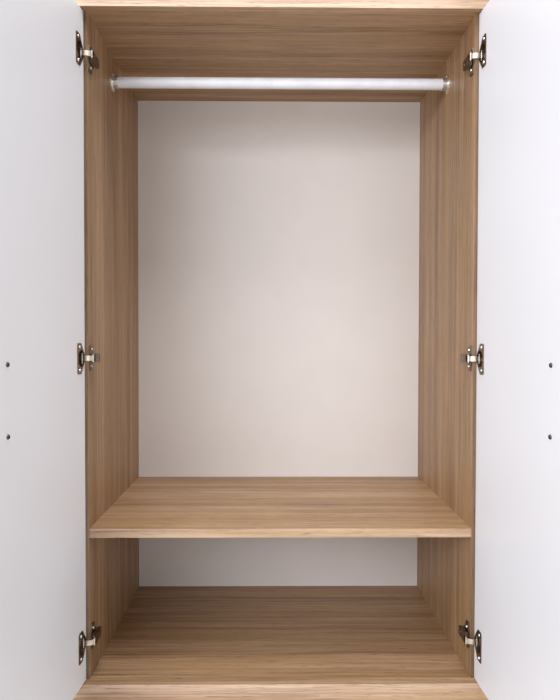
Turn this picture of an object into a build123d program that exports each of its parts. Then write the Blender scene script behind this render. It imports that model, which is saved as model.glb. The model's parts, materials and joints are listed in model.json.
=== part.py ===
"""A two-door wardrobe: board carcass on a plinth, one fixed shelf, a hanging rail, concealed cup hinges.

Millimetres, +X to the right, +Y to the back, +Z up. The origin is the underside of the glide in the
middle of the footprint. The doors are drawn standing open, each at its own angle.

Hinge geometry is planned in (u, v): u runs outwards from the middle of the wardrobe and v runs
forwards from the front edges of the side panels, so one plan serves both sides.
"""
from build123d import *
import math
import os

# ---- driving dimensions -------------------------------------------------------------------------
INNER_WIDTH = 764.0
INNER_HEIGHT = 1322.0
SIDE_DEPTH = 498.0
BOARD = 18.0
OVERHANG = 15.0            # top and bottom boards past the side panels
PROUD = 22.0               # top and bottom boards in front of the side panels
BACK_SHEET = 4.0
EDGE = 0.8                 # edge band
EDGE_ROUND = 0.56          # on the front arrises of the top and bottom boards
GLIDE_HEIGHT = 5.0
PLINTH_HEIGHT = 75.0
PLINTH_SETBACK = 1.0
SHELF_ABOVE_FLOOR = 302.0
SHELF_SETBACK = 3.0

RAIL_RADIUS = 12.5
RAIL_WALL = 1.2
RAIL_BELOW_CEILING = 60.0
RAIL_TO_BACK = 290.0

DOOR_GAP = 3.0             # above, below and between the doors
DOOR_REVEAL = 1.5          # hinge edge to the outer face of the side panel
DOOR_STANDOFF = 2.0        # closed door to the front edges of the side panels
OPEN_ANGLES = {"left": 93.7, "right": 91.7}
HINGE_BELOW_CEILING = 87.0
HINGE_ABOVE_FLOOR = 81.0
MIDDLE_HINGE_ABOVE_FLOOR = 643.0
HANDLE_FROM_HINGE_EDGE = 332.0
HANDLE_ABOVE_FLOOR = 591.0
HANDLE_HOLES = 107.0

# ---- places worked out from them ----------------------------------------------------------------
SIDE_INNER = INNER_WIDTH / 2
SIDE_OUTER = SIDE_INNER + BOARD
BOARD_END = SIDE_OUTER + OVERHANG
DEPTH = PROUD + SIDE_DEPTH + BACK_SHEET
Y_FRONT = -DEPTH / 2
Y_SIDES = Y_FRONT + PROUD
Y_BACK = Y_SIDES + SIDE_DEPTH
Z_BASE = GLIDE_HEIGHT + PLINTH_HEIGHT
Z_FLOOR = Z_BASE + BOARD
Z_CEILING = Z_FLOOR + INNER_HEIGHT
Z_TOP = Z_CEILING + BOARD
Z_SHELF = Z_FLOOR + SHELF_ABOVE_FLOOR
SIDES = {"left": -1, "right": 1}

# ---- concealed hinge, closed, in (u, v) ----------------------------------------------------------
ARM_PIVOT = (370.0, 9.0)
CUP_PIVOT = (390.0, 4.2)
LINK_TURN = -0.30          # the link turns this much for each degree that the door opens
CUP_FROM_EDGE = 21.5
CUP_RADIUS = 17.4
CUP_WALL = 0.7
CUP_DEPTH = 11.5
BORE_RADIUS = 17.5
BORE_DEPTH = 12.0
FLANGE = 1.2
FLANGE_SCREWS = 22.5       # each side of the cup's centre
FLANGE_SCREW_SHIFT = 9.5   # further from the door's edge than the cup's centre
PIN_RADIUS = 1.25
RUNNING = 0.05             # radial clearance of a pin
PLATE_LINE = 18.0          # screw holes behind the front edge
PLATE_HOLES = 16.0         # each side of the hinge's height
ARM_HALF = 9.0
ARM_SHEET = 1.5
DOOR_EDGE_U = SIDE_OUTER - DOOR_REVEAL
DOOR_WIDTH = DOOR_EDGE_U - DOOR_GAP / 2
DOOR_LOW = Z_FLOOR + DOOR_GAP
DOOR_HIGH = Z_CEILING - DOOR_GAP
HINGE_LOW = Z_FLOOR + HINGE_ABOVE_FLOOR
HINGE_HIGH = Z_CEILING - HINGE_BELOW_CEILING
HINGE_HEIGHTS = {"bottom": HINGE_LOW, "middle": Z_FLOOR + MIDDLE_HINGE_ABOVE_FLOOR, "top": HINGE_HIGH}
Z_HANDLE = Z_FLOOR + HANDLE_ABOVE_FLOOR

os.makedirs("parts", exist_ok=True)


# ---- helpers ------------------------------------------------------------------------------------
def save(piece, name):
    """Label a finished piece and write it as a STEP file of the same name."""
    piece.label = name
    export_step(piece, f"parts/{name}.step")


def swing(point, pivot, degrees):
    """Turn a (u, v) point about a pivot, in the sense that opens a door."""
    turn = math.radians(degrees)
    du, dv = point[0] - pivot[0], point[1] - pivot[1]
    u = pivot[0] + du * math.cos(turn) + dv * math.sin(turn)
    v = pivot[1] - du * math.sin(turn) + dv * math.cos(turn)
    return u, v


def carcass_xy(hand, point):
    """A (u, v) point that stays with the carcass."""
    return SIDES[hand] * point[0], Y_SIDES - point[1]


def link_xy(hand, point):
    """A (u, v) point of the closed hinge link, where it stands with the door open."""
    return carcass_xy(hand, swing(point, ARM_PIVOT, LINK_TURN * OPEN_ANGLES[hand]))


def door_xy(hand, along, depth):
    """A point of the open door: along from its hinge edge, depth from its inner face outwards."""
    closed = (DOOR_EDGE_U - along, DOOR_STANDOFF + depth)
    pivot = swing(CUP_PIVOT, ARM_PIVOT, LINK_TURN * OPEN_ANGLES[hand])
    offset = swing(closed, CUP_PIVOT, OPEN_ANGLES[hand])
    u = pivot[0] + offset[0] - CUP_PIVOT[0]
    v = pivot[1] + offset[1] - CUP_PIVOT[1]
    return carcass_xy(hand, (u, v))


def door_plane(hand, along, depth, height):
    """A plane on the open door: x along the door, z out of its outer face."""
    here = Vector(*door_xy(hand, along, depth), height)
    further = Vector(*door_xy(hand, along + 1, depth), height)
    outwards = Vector(*door_xy(hand, along, depth + 1), height)
    return Plane(origin=here, x_dir=further - here, z_dir=outwards - here)


def side_plane(hand, u, v, height):
    """A plane that faces a side panel: z runs outwards."""
    x, y = carcass_xy(hand, (u, v))
    return Plane(origin=(x, y, height), x_dir=(0, 1, 0), z_dir=(SIDES[hand], 0, 0))


def board(low, high):
    """A plain board between two corners."""
    size = [high[i] - low[i] for i in range(3)]
    middle = [(high[i] + low[i]) / 2 for i in range(3)]
    with Locations(tuple(middle)):
        Box(*size)


def post(xy, radius, low, high, mode=Mode.ADD):
    """An upright cylinder between two heights."""
    with Locations((*xy, (low + high) / 2)):
        Cylinder(radius, high - low, mode=mode)


def rod(plane, radius, length, mode=Mode.ADD):
    """A cylinder that starts on a plane and runs along its normal."""
    with BuildSketch(plane) as section:
        Circle(radius)
    extrude(section.sketch, amount=length, mode=mode)


def slab(points, low, high, mode=Mode.ADD):
    """An upright prism over a closed outline."""
    with BuildSketch(Plane.XY.offset(low)) as section:
        with BuildLine():
            Polyline(*points, close=True)
        make_face()
    extrude(section.sketch, amount=high - low, mode=mode)


# ---- joinery positions --------------------------------------------------------------------------
PANEL_SCREW_YS = [Y_SIDES + step for step in (50.0, SIDE_DEPTH / 2, SIDE_DEPTH - 50.0)]
PANEL_DOWEL_YS = [Y_SIDES + step for step in (90.0, SIDE_DEPTH - 90.0)]
SHELF_DOWEL_YS = [Y_SIDES + step for step in (60.0, SIDE_DEPTH / 2, SIDE_DEPTH - 60.0)]
SIDE_MIDDLE = SIDE_INNER + BOARD / 2
SCREW_RADIUS = 2.5
SCREW_HEAD_RADIUS = 5.0
SCREW_HEAD = 3.0
SCREW_LENGTH = 50.0
DOWEL_RADIUS = 4.0
DOWEL_INTO_BOARD = 12.0
DOWEL_INTO_END = 18.0
FIT = 0.05


def panel_screws(grow, mode=Mode.ADD):
    """Screws down through the top board and up through the bottom board, into the side panels."""
    for side in SIDES.values():
        for y in PANEL_SCREW_YS:
            x = side * SIDE_MIDDLE
            post((x, y), SCREW_HEAD_RADIUS + grow, Z_TOP - SCREW_HEAD - grow, Z_TOP, mode)
            post((x, y), SCREW_RADIUS + grow, Z_TOP - SCREW_LENGTH - grow, Z_TOP - SCREW_HEAD, mode)
            post((x, y), SCREW_HEAD_RADIUS + grow, Z_BASE, Z_BASE + SCREW_HEAD + grow, mode)
            post((x, y), SCREW_RADIUS + grow, Z_BASE + SCREW_HEAD, Z_BASE + SCREW_LENGTH + grow, mode)


def panel_dowels(grow, mode=Mode.ADD):
    """Upright dowels between the side panels and the top and bottom boards."""
    for side in SIDES.values():
        for y in PANEL_DOWEL_YS:
            x = side * SIDE_MIDDLE
            post((x, y), DOWEL_RADIUS + grow, Z_CEILING - DOWEL_INTO_END - grow,
                 Z_CEILING + DOWEL_INTO_BOARD + grow, mode)
            post((x, y), DOWEL_RADIUS + grow, Z_FLOOR - DOWEL_INTO_BOARD - grow,
                 Z_FLOOR + DOWEL_INTO_END + grow, mode)


def shelf_dowels(grow, mode=Mode.ADD):
    """Level dowels that carry the shelf in the side panels."""
    for hand in SIDES:
        for y in SHELF_DOWEL_YS:
            start = side_plane(hand, SIDE_INNER - DOWEL_INTO_END - grow, Y_SIDES - y, Z_SHELF - BOARD / 2)
            rod(start, DOWEL_RADIUS + grow, DOWEL_INTO_END + DOWEL_INTO_BOARD + 2 * grow, mode)


# ---- back sheet screws --------------------------------------------------------------------------
BACK_HALF = SIDE_OUTER - 2.0
BACK_LOW = Z_BASE + 2.0
BACK_HIGH = Z_TOP - 2.0
BACK_SCREW = 15.0
BACK_HEAD = 2.0
BACK_HEAD_RADIUS = 3.2
BACK_SHANK = 1.5
BACK_SCREW_PLACES = (
    [(side * SIDE_MIDDLE, Z_FLOOR + INNER_HEIGHT * step / 7) for side in (-1, 1) for step in range(1, 7)]
    + [(INNER_WIDTH * step / 8, z) for step in (-3, -1, 1, 3) for z in (Z_BASE + BOARD / 2,
                                                                        Z_SHELF - BOARD / 2,
                                                                        Z_TOP - BOARD / 2)]
)


def back_screws(grow, mode=Mode.ADD):
    """Countersunk screws through the back sheet into the boards' rear edges."""
    y_rear = Y_BACK + BACK_SHEET
    for x, z in BACK_SCREW_PLACES:
        with Locations((x, y_rear - BACK_HEAD / 2, z)):
            Cone(BACK_SHANK + grow, BACK_HEAD_RADIUS + grow, BACK_HEAD, rotation=(-90, 0, 0), mode=mode)
        rod(Plane(origin=(x, y_rear - BACK_HEAD, z), z_dir=(0, -1, 0)), BACK_SHANK + grow,
            BACK_SCREW - BACK_HEAD + grow, mode)


# ---- hinge hardware places ----------------------------------------------------------------------
PLATE_SHEET = 3.0
PLATE_FACE = SIDE_INNER - PLATE_SHEET
PLATE_SCREW_RADIUS = 2.0
PLATE_SCREW_INTO_SIDE = 13.0


def plate_screws(hand, grow, mode=Mode.ADD):
    """The two screws of each mounting plate on one side panel."""
    for height in HINGE_HEIGHTS.values():
        for offset in (-PLATE_HOLES, PLATE_HOLES):
            start = side_plane(hand, PLATE_FACE, -PLATE_LINE, height + offset)
            length = PLATE_SHEET + PLATE_SCREW_INTO_SIDE + grow
            rod(start, PLATE_SCREW_RADIUS + grow, length, mode)


# ---- hanging rail and its sockets ----------------------------------------------------------------
Z_RAIL = Z_CEILING - RAIL_BELOW_CEILING
Y_RAIL = Y_BACK - RAIL_TO_BACK
SOCKET_SHEET = 3.0
SOCKET_RADIUS = 20.0
SOCKET_RING_RADIUS = 14.2
SOCKET_REACH = 14.0
SOCKET_SCREWS = 17.0       # above and below the rail's middle
SOCKET_SCREW_RADIUS = 1.5
SOCKET_SCREW_LENGTH = 15.0
SOCKET_HEAD_RADIUS = 2.6
SOCKET_HEAD = 1.6
SOCKET_CHAMFER = 0.8
RAIL_END_GAP = 0.5
RAIL_HALF = SIDE_INNER - SOCKET_SHEET - RAIL_END_GAP


def socket_screws(hand, grow, mode=Mode.ADD):
    """The shanks of the two screws of one rail socket, into the side panel."""
    for offset in (-SOCKET_SCREWS, SOCKET_SCREWS):
        start = side_plane(hand, SIDE_INNER - SOCKET_SHEET, Y_SIDES - Y_RAIL, Z_RAIL + offset)
        rod(start, SOCKET_SCREW_RADIUS + grow, SOCKET_SCREW_LENGTH + grow, mode)


with BuildPart() as hanging_rail:
    with Locations((0, Y_RAIL, Z_RAIL)):
        Cylinder(RAIL_RADIUS, 2 * RAIL_HALF, rotation=(0, 90, 0))
        Cylinder(RAIL_RADIUS - RAIL_WALL, 2 * RAIL_HALF, rotation=(0, 90, 0), mode=Mode.SUBTRACT)
save(hanging_rail.part, "hanging_rail")

for hand, side in SIDES.items():
    with BuildPart() as rail_socket:
        rod(side_plane(hand, SIDE_INNER - SOCKET_SHEET, Y_SIDES - Y_RAIL, Z_RAIL), SOCKET_RADIUS, SOCKET_SHEET)
        inner_rim = rail_socket.edges().filter_by(GeomType.CIRCLE).sort_by(Axis.X)[0 if side > 0 else -1]
        chamfer(inner_rim, SOCKET_CHAMFER)
        mouth = side_plane(hand, SIDE_INNER - SOCKET_REACH, Y_SIDES - Y_RAIL, Z_RAIL)
        rod(mouth, SOCKET_RING_RADIUS, SOCKET_REACH - SOCKET_SHEET)
        rod(mouth, RAIL_RADIUS + FIT, SOCKET_REACH - SOCKET_SHEET, Mode.SUBTRACT)
        socket_screws(hand, FIT, Mode.SUBTRACT)
    save(rail_socket.part, f"rail_socket_{hand}")

with BuildPart() as rail_socket_screws:
    for hand in SIDES:
        socket_screws(hand, 0)
        for offset in (-SOCKET_SCREWS, SOCKET_SCREWS):
            face = side_plane(hand, SIDE_INNER - SOCKET_SHEET, Y_SIDES - Y_RAIL, Z_RAIL + offset)
            rod(face, SOCKET_HEAD_RADIUS, -SOCKET_HEAD)
save(rail_socket_screws.part, "rail_socket_screws")

# ---- carcass boards -----------------------------------------------------------------------------
for hand, side in SIDES.items():
    with BuildPart() as side_panel:
        board((min(side * SIDE_INNER, side * SIDE_OUTER), Y_SIDES + EDGE, Z_FLOOR),
              (max(side * SIDE_INNER, side * SIDE_OUTER), Y_BACK, Z_CEILING))
        panel_screws(FIT, Mode.SUBTRACT)
        panel_dowels(FIT, Mode.SUBTRACT)
        shelf_dowels(FIT, Mode.SUBTRACT)
        back_screws(FIT, Mode.SUBTRACT)
        plate_screws(hand, FIT, Mode.SUBTRACT)
        socket_screws(hand, FIT, Mode.SUBTRACT)
    save(side_panel.part, f"side_panel_{hand}")

END_CORE = BOARD_END - EDGE
with BuildPart() as top_panel:
    board((-END_CORE, Y_FRONT + EDGE, Z_CEILING), (END_CORE, Y_BACK, Z_TOP))
    panel_screws(FIT, Mode.SUBTRACT)
    panel_dowels(FIT, Mode.SUBTRACT)
    back_screws(FIT, Mode.SUBTRACT)
save(top_panel.part, "top_panel")

PLINTH_FACE = Y_FRONT + PLINTH_SETBACK
PLINTH_INSIDE = PLINTH_FACE + BOARD
PLINTH_REAR = Y_BACK - BOARD
PLINTH_DOWELS = (
    [(x, PLINTH_FACE + BOARD / 2) for x in (-300.0, 0.0, 300.0)]
    + [(x, PLINTH_REAR + BOARD / 2) for x in (-300.0, 0.0, 300.0)]
    + [(side * (BOARD_END - BOARD / 2), y) for side in (-1, 1) for y in (-120.0, 120.0)]
)


def plinth_dowels(grow, mode=Mode.ADD):
    """Upright dowels between the plinth and the bottom board."""
    for xy in PLINTH_DOWELS:
        post(xy, DOWEL_RADIUS + grow, Z_BASE - DOWEL_INTO_END - grow, Z_BASE + DOWEL_INTO_BOARD + grow, mode)


with BuildPart() as bottom_panel:
    board((-END_CORE, Y_FRONT + EDGE, Z_BASE), (END_CORE, Y_BACK, Z_FLOOR))
    panel_screws(FIT, Mode.SUBTRACT)
    panel_dowels(FIT, Mode.SUBTRACT)
    plinth_dowels(FIT, Mode.SUBTRACT)
    back_screws(FIT, Mode.SUBTRACT)
save(bottom_panel.part, "bottom_panel")

SHELF_FRONT = Y_SIDES + SHELF_SETBACK
with BuildPart() as fixed_shelf:
    board((-SIDE_INNER, SHELF_FRONT + EDGE, Z_SHELF - BOARD), (SIDE_INNER, Y_BACK, Z_SHELF))
    shelf_dowels(FIT, Mode.SUBTRACT)
    back_screws(FIT, Mode.SUBTRACT)
save(fixed_shelf.part, "fixed_shelf")

with BuildPart() as back_panel:
    board((-BACK_HALF, Y_BACK, BACK_LOW), (BACK_HALF, Y_BACK + BACK_SHEET, BACK_HIGH))
    back_screws(FIT, Mode.SUBTRACT)
save(back_panel.part, "back_panel")

# ---- edge bands of the carcass ------------------------------------------------------------------
with BuildPart() as carcass_edge_bands:
    for low, high in ((Z_CEILING, Z_TOP), (Z_BASE, Z_FLOOR)):
        board((-BOARD_END, Y_FRONT, low), (BOARD_END, Y_BACK, high))
        with Locations((0, (Y_FRONT + Y_BACK) / 2 + EDGE, (low + high) / 2)):
            Box(2 * END_CORE, Y_BACK - Y_FRONT, BOARD, mode=Mode.SUBTRACT)
    fillet(carcass_edge_bands.edges().filter_by(Axis.X).group_by(Axis.Y)[0], EDGE_ROUND)
    for side in SIDES.values():
        board((min(side * SIDE_INNER, side * SIDE_OUTER), Y_SIDES, Z_FLOOR),
              (max(side * SIDE_INNER, side * SIDE_OUTER), Y_SIDES + EDGE, Z_CEILING))
    board((-SIDE_INNER, SHELF_FRONT, Z_SHELF - BOARD), (SIDE_INNER, SHELF_FRONT + EDGE, Z_SHELF))
save(carcass_edge_bands.part, "carcass_edge_bands")

# ---- plinth and glides --------------------------------------------------------------------------
GLIDE_RADIUS = 8.0
GLIDE_NAIL_RADIUS = 1.5
GLIDE_NAIL = 16.0
GLIDE_CHAMFER = 1.0
GLIDE_PLACES = (
    [(0.0, 0.0)]
    + [(x, PLINTH_FACE + BOARD / 2) for x in (-390.0, -130.0, 130.0, 390.0)]
    + [(x, PLINTH_REAR + BOARD / 2) for x in (-390.0, -130.0, 130.0, 390.0)]
)


def glide_nails(grow, mode=Mode.ADD):
    """The nails of the glides, up into the plinth."""
    for xy in GLIDE_PLACES:
        post(xy, GLIDE_NAIL_RADIUS + grow, GLIDE_HEIGHT, GLIDE_HEIGHT + GLIDE_NAIL + grow, mode)


PLINTH_BOARDS = {
    "plinth_front": ((-BOARD_END, PLINTH_FACE), (BOARD_END, PLINTH_INSIDE)),
    "plinth_back": ((-BOARD_END, PLINTH_REAR), (BOARD_END, Y_BACK)),
    "plinth_left": ((-BOARD_END, PLINTH_INSIDE), (-BOARD_END + BOARD, PLINTH_REAR)),
    "plinth_right": ((BOARD_END - BOARD, PLINTH_INSIDE), (BOARD_END, PLINTH_REAR)),
    "plinth_stretcher": ((-BOARD / 2, PLINTH_INSIDE), (BOARD / 2, PLINTH_REAR)),
}
for name, (low, high) in PLINTH_BOARDS.items():
    with BuildPart() as plinth_board:
        board((*low, GLIDE_HEIGHT), (*high, Z_BASE))
        plinth_dowels(FIT, Mode.SUBTRACT)
        glide_nails(FIT, Mode.SUBTRACT)
    save(plinth_board.part, name)

with BuildPart() as floor_glides:
    for xy in GLIDE_PLACES:
        post(xy, GLIDE_RADIUS, 0, GLIDE_HEIGHT)
    foot_rims = floor_glides.edges().filter_by(GeomType.CIRCLE).group_by(Axis.Z)[0]
    chamfer(foot_rims, GLIDE_CHAMFER)
    glide_nails(0)
save(floor_glides.part, "floor_glides")

# ---- joinery hardware ---------------------------------------------------------------------------
with BuildPart() as carcass_screws:
    panel_screws(0)
save(carcass_screws.part, "carcass_screws")

with BuildPart() as carcass_dowels:
    panel_dowels(0)
    plinth_dowels(0)
    shelf_dowels(0)
save(carcass_dowels.part, "carcass_dowels")

with BuildPart() as back_panel_screws:
    back_screws(0)
save(back_panel_screws.part, "back_panel_screws")

# ---- hinges: mounting plates and arms -----------------------------------------------------------
PLATE_WING_HALF = 25.5
PLATE_WING_FRONT = -10.0
PLATE_WING_REAR = -26.0
PLATE_SPINE_HALF = 8.0
PLATE_SPINE_FRONT = -5.0
PLATE_SPINE_REAR = -42.0
PLATE_BLOCK_HALF = 6.5
PLATE_TAPER = 4.0          # from a wing's rear edge back to the spine
ARM_WEB_U = 368.5
ARM_REAR = -40.0
ARM_FRONT = -4.0
ARM_SCREW_V = -29.0
ARM_SCREW_HOLE = 3.4
ARM_SCREW_HEAD = 3.2
ARM_SCREW_SHANK = 2.0
ARM_SCREW_LENGTH = 8.0
ARM_SCREW_SUNK = 0.3
SCREW_TOP = 2.0
PLATE_SCREW_HEAD = 4.0
PIN_RIVET = 0.6            # a pin past the arm's cheek

# outlines of the plate, of its block and of the arm's cheeks
PLATE_WINGS = [(PLATE_WING_FRONT, PLATE_WING_HALF), (PLATE_WING_REAR, PLATE_WING_HALF),
               (PLATE_WING_REAR - PLATE_TAPER, PLATE_SPINE_HALF), (PLATE_SPINE_REAR, PLATE_SPINE_HALF),
               (PLATE_SPINE_REAR, -PLATE_SPINE_HALF), (PLATE_WING_REAR - PLATE_TAPER, -PLATE_SPINE_HALF),
               (PLATE_WING_REAR, -PLATE_WING_HALF), (PLATE_WING_FRONT, -PLATE_WING_HALF),
               (PLATE_SPINE_FRONT, -PLATE_SPINE_HALF), (PLATE_SPINE_FRONT, PLATE_SPINE_HALF)]
PLATE_BLOCK = [(ARM_WEB_U + ARM_SHEET, -36.0), (PLATE_FACE, -38.0),
               (PLATE_FACE, -12.0), (ARM_WEB_U + ARM_SHEET, -17.0)]
ARM_CHEEK = [(ARM_WEB_U, ARM_REAR), (ARM_WEB_U, ARM_FRONT), (367.4, 8.0), (372.6, 8.0),
             (376.0, -3.0), (376.0, -34.0), (373.0, ARM_REAR)]
ARM_HOLLOW = [(ARM_WEB_U + ARM_SHEET, -90.0), (ARM_WEB_U + ARM_SHEET, -5.0), (361.5, -5.0),
              (361.5, 30.0), (400.0, 30.0), (400.0, -90.0)]
ARM_EYE = 2.8


def hinge_name(piece, hand, level):
    """The node name of one hinge's piece."""
    return f"{piece}_{hand}_{level}"


def arm_screw(hand, height, radius, head_radius, mode=Mode.ADD):
    """The screw that clamps one hinge arm to its plate."""
    head_face = side_plane(hand, ARM_WEB_U + ARM_SCREW_SUNK, ARM_SCREW_V, height)
    rod(head_face, head_radius, ARM_SHEET - ARM_SCREW_SUNK, mode)
    rod(side_plane(hand, ARM_WEB_U + ARM_SHEET, ARM_SCREW_V, height), radius, ARM_SCREW_LENGTH, mode)


for hand in SIDES:
    for level, height in HINGE_HEIGHTS.items():
        wall = side_plane(hand, PLATE_FACE, 0, height)
        with BuildPart() as hinge_plate:
            with BuildSketch(wall):
                with BuildLine():
                    Polyline(*[(-v, z if wall.y_dir.Z > 0 else -z) for v, z in PLATE_WINGS], close=True)
                make_face()
            extrude(amount=PLATE_SHEET)
            slab([carcass_xy(hand, point) for point in PLATE_BLOCK], height - PLATE_BLOCK_HALF,
                 height + PLATE_BLOCK_HALF)
            plate_screws(hand, FIT, Mode.SUBTRACT)
            arm_screw(hand, height, ARM_SCREW_SHANK + FIT, ARM_SCREW_HEAD, Mode.SUBTRACT)
        save(hinge_plate.part, hinge_name("hinge_plate", hand, level))

        with BuildPart() as hinge_arm:
            slab([carcass_xy(hand, point) for point in ARM_CHEEK], height - ARM_HALF, height + ARM_HALF)
            post(carcass_xy(hand, ARM_PIVOT), ARM_EYE, height - ARM_HALF, height + ARM_HALF)
            slab([carcass_xy(hand, point) for point in ARM_HOLLOW], height - ARM_HALF + ARM_SHEET,
                 height + ARM_HALF - ARM_SHEET, Mode.SUBTRACT)
            rod(side_plane(hand, ARM_WEB_U, ARM_SCREW_V, height), ARM_SCREW_HOLE, ARM_SHEET, Mode.SUBTRACT)
            post(carcass_xy(hand, ARM_PIVOT), PIN_RADIUS + RUNNING, height - ARM_HALF, height + ARM_HALF,
                 Mode.SUBTRACT)
        save(hinge_arm.part, hinge_name("hinge_arm", hand, level))

with BuildPart() as hinge_plate_screws:
    for hand in SIDES:
        plate_screws(hand, 0)
        for height in HINGE_HEIGHTS.values():
            for offset in (-PLATE_HOLES, PLATE_HOLES):
                seat = side_plane(hand, PLATE_FACE, -PLATE_LINE, height + offset)
                rod(seat, PLATE_SCREW_HEAD, -SCREW_TOP)
save(hinge_plate_screws.part, "hinge_plate_screws")

with BuildPart() as hinge_arm_screws:
    for hand in SIDES:
        for height in HINGE_HEIGHTS.values():
            arm_screw(hand, height, ARM_SCREW_SHANK, ARM_SCREW_HEAD)
save(hinge_arm_screws.part, "hinge_arm_screws")

with BuildPart() as hinge_arm_pins:
    for hand in SIDES:
        for height in HINGE_HEIGHTS.values():
            post(carcass_xy(hand, ARM_PIVOT), PIN_RADIUS, height - ARM_HALF - PIN_RIVET, height + ARM_HALF + PIN_RIVET)
save(hinge_arm_pins.part, "hinge_arm_pins")

# ---- hinges: curved links -----------------------------------------------------------------------
LINK_EYE = 2.2
LINK_SHEET = 1.6
LINK_BULGE = 4.0
LINK_ARM_HALF = 7.2
LINK_CUP_HALF = 5.0


def link_middle(extra):
    """The closed link's midpoint, pushed into the cup by its bulge and an extra amount."""
    du, dv = CUP_PIVOT[0] - ARM_PIVOT[0], CUP_PIVOT[1] - ARM_PIVOT[1]
    span = math.hypot(du, dv)
    rise = (LINK_BULGE + extra) / span
    return (ARM_PIVOT[0] + CUP_PIVOT[0]) / 2 - dv * rise, (ARM_PIVOT[1] + CUP_PIVOT[1]) / 2 + du * rise


for hand in SIDES:
    for level, height in HINGE_HEIGHTS.items():
        ends = [link_xy(hand, ARM_PIVOT), link_xy(hand, CUP_PIVOT)]
        with BuildPart() as hinge_link:
            with BuildSketch(Plane.XY.offset(height - LINK_CUP_HALF)):
                with BuildLine():
                    spine = ThreePointArc(ends[0], link_xy(hand, link_middle(0)), ends[1])
                trace(spine, line_width=LINK_SHEET)
            extrude(amount=2 * LINK_CUP_HALF)
            post(ends[0], LINK_EYE, height - LINK_ARM_HALF, height + LINK_ARM_HALF)
            post(ends[1], LINK_EYE, height - LINK_CUP_HALF, height + LINK_CUP_HALF)
            for end in ends:
                post(end, PIN_RADIUS + RUNNING, height - ARM_HALF, height + ARM_HALF, Mode.SUBTRACT)
        save(hinge_link.part, hinge_name("hinge_link", hand, level))

# ---- hinges: cups in the doors ------------------------------------------------------------------
CUP_PIN_HALF = 9.8
FLANGE_RADIUS = 18.8
FLANGE_CORNER = 4.0
FLANGE_CORNERS = [(along, up) for along in (2.5, 16.5) for up in (-26.0, 26.0)]
FLANGE_SCREW_RADIUS = 1.7
FLANGE_SCREW_DEPTH = 12.0
FLANGE_SCREW_HEAD = 3.8


def cup_screws(hand, grow, mode=Mode.ADD):
    """The shanks of the screws that hold each cup's flange to one door."""
    for height in HINGE_HEIGHTS.values():
        for offset in (-FLANGE_SCREWS, FLANGE_SCREWS):
            start = door_plane(hand, CUP_FROM_EDGE + FLANGE_SCREW_SHIFT, -FLANGE, height + offset)
            rod(start, FLANGE_SCREW_RADIUS + grow, FLANGE + FLANGE_SCREW_DEPTH + grow, mode)


for hand in SIDES:
    pivot = link_xy(hand, CUP_PIVOT)
    for level, height in HINGE_HEIGHTS.items():
        face = door_plane(hand, CUP_FROM_EDGE, 0, height)
        with BuildPart() as hinge_cup:
            with BuildSketch(face.offset(-FLANGE)):
                Circle(FLANGE_RADIUS)
                with Locations(*FLANGE_CORNERS):
                    Circle(FLANGE_CORNER)
                make_hull()
            extrude(amount=FLANGE)
            rod(face, CUP_RADIUS, CUP_DEPTH)
            rod(face.offset(-FLANGE), CUP_RADIUS - CUP_WALL, FLANGE + CUP_DEPTH - CUP_WALL, Mode.SUBTRACT)
            post(pivot, PIN_RADIUS + FIT, height - CUP_PIN_HALF - FIT, height + CUP_PIN_HALF + FIT, Mode.SUBTRACT)
            cup_screws(hand, FIT, Mode.SUBTRACT)
        save(hinge_cup.part, hinge_name("hinge_cup", hand, level))

    with BuildPart() as cup_screw_group:
        cup_screws(hand, 0)
        for height in HINGE_HEIGHTS.values():
            for offset in (-FLANGE_SCREWS, FLANGE_SCREWS):
                seat = door_plane(hand, CUP_FROM_EDGE + FLANGE_SCREW_SHIFT, -FLANGE, height + offset)
                rod(seat, FLANGE_SCREW_HEAD, -SCREW_TOP)
    save(cup_screw_group.part, f"hinge_cup_screws_{hand}")

    with BuildPart() as cup_pin_group:
        for height in HINGE_HEIGHTS.values():
            post(pivot, PIN_RADIUS, height - CUP_PIN_HALF, height + CUP_PIN_HALF)
    save(cup_pin_group.part, f"hinge_cup_pins_{hand}")

# ---- doors and handles --------------------------------------------------------------------------
HANDLE_BAR = 6.0
HANDLE_POST = 5.0
HANDLE_REACH = 30.0        # outer face of the door to the bar's centreline
HANDLE_END = 18.0          # bar past each post
HANDLE_SCREW = 2.0
HANDLE_SCREW_DEPTH = 12.0
HANDLE_HEAD = 4.0
HANDLE_HEAD_HEIGHT = 2.2
HANDLE_CHAMFER = 1.0


def handle_screws(hand, grow, mode=Mode.ADD):
    """The shanks of the two handle screws, from the door's inner face into the posts."""
    for offset in (-HANDLE_HOLES / 2, HANDLE_HOLES / 2):
        start = door_plane(hand, HANDLE_FROM_HINGE_EDGE, 0, Z_HANDLE + offset)
        rod(start, HANDLE_SCREW + grow, BOARD + HANDLE_SCREW_DEPTH + grow, mode)


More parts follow.
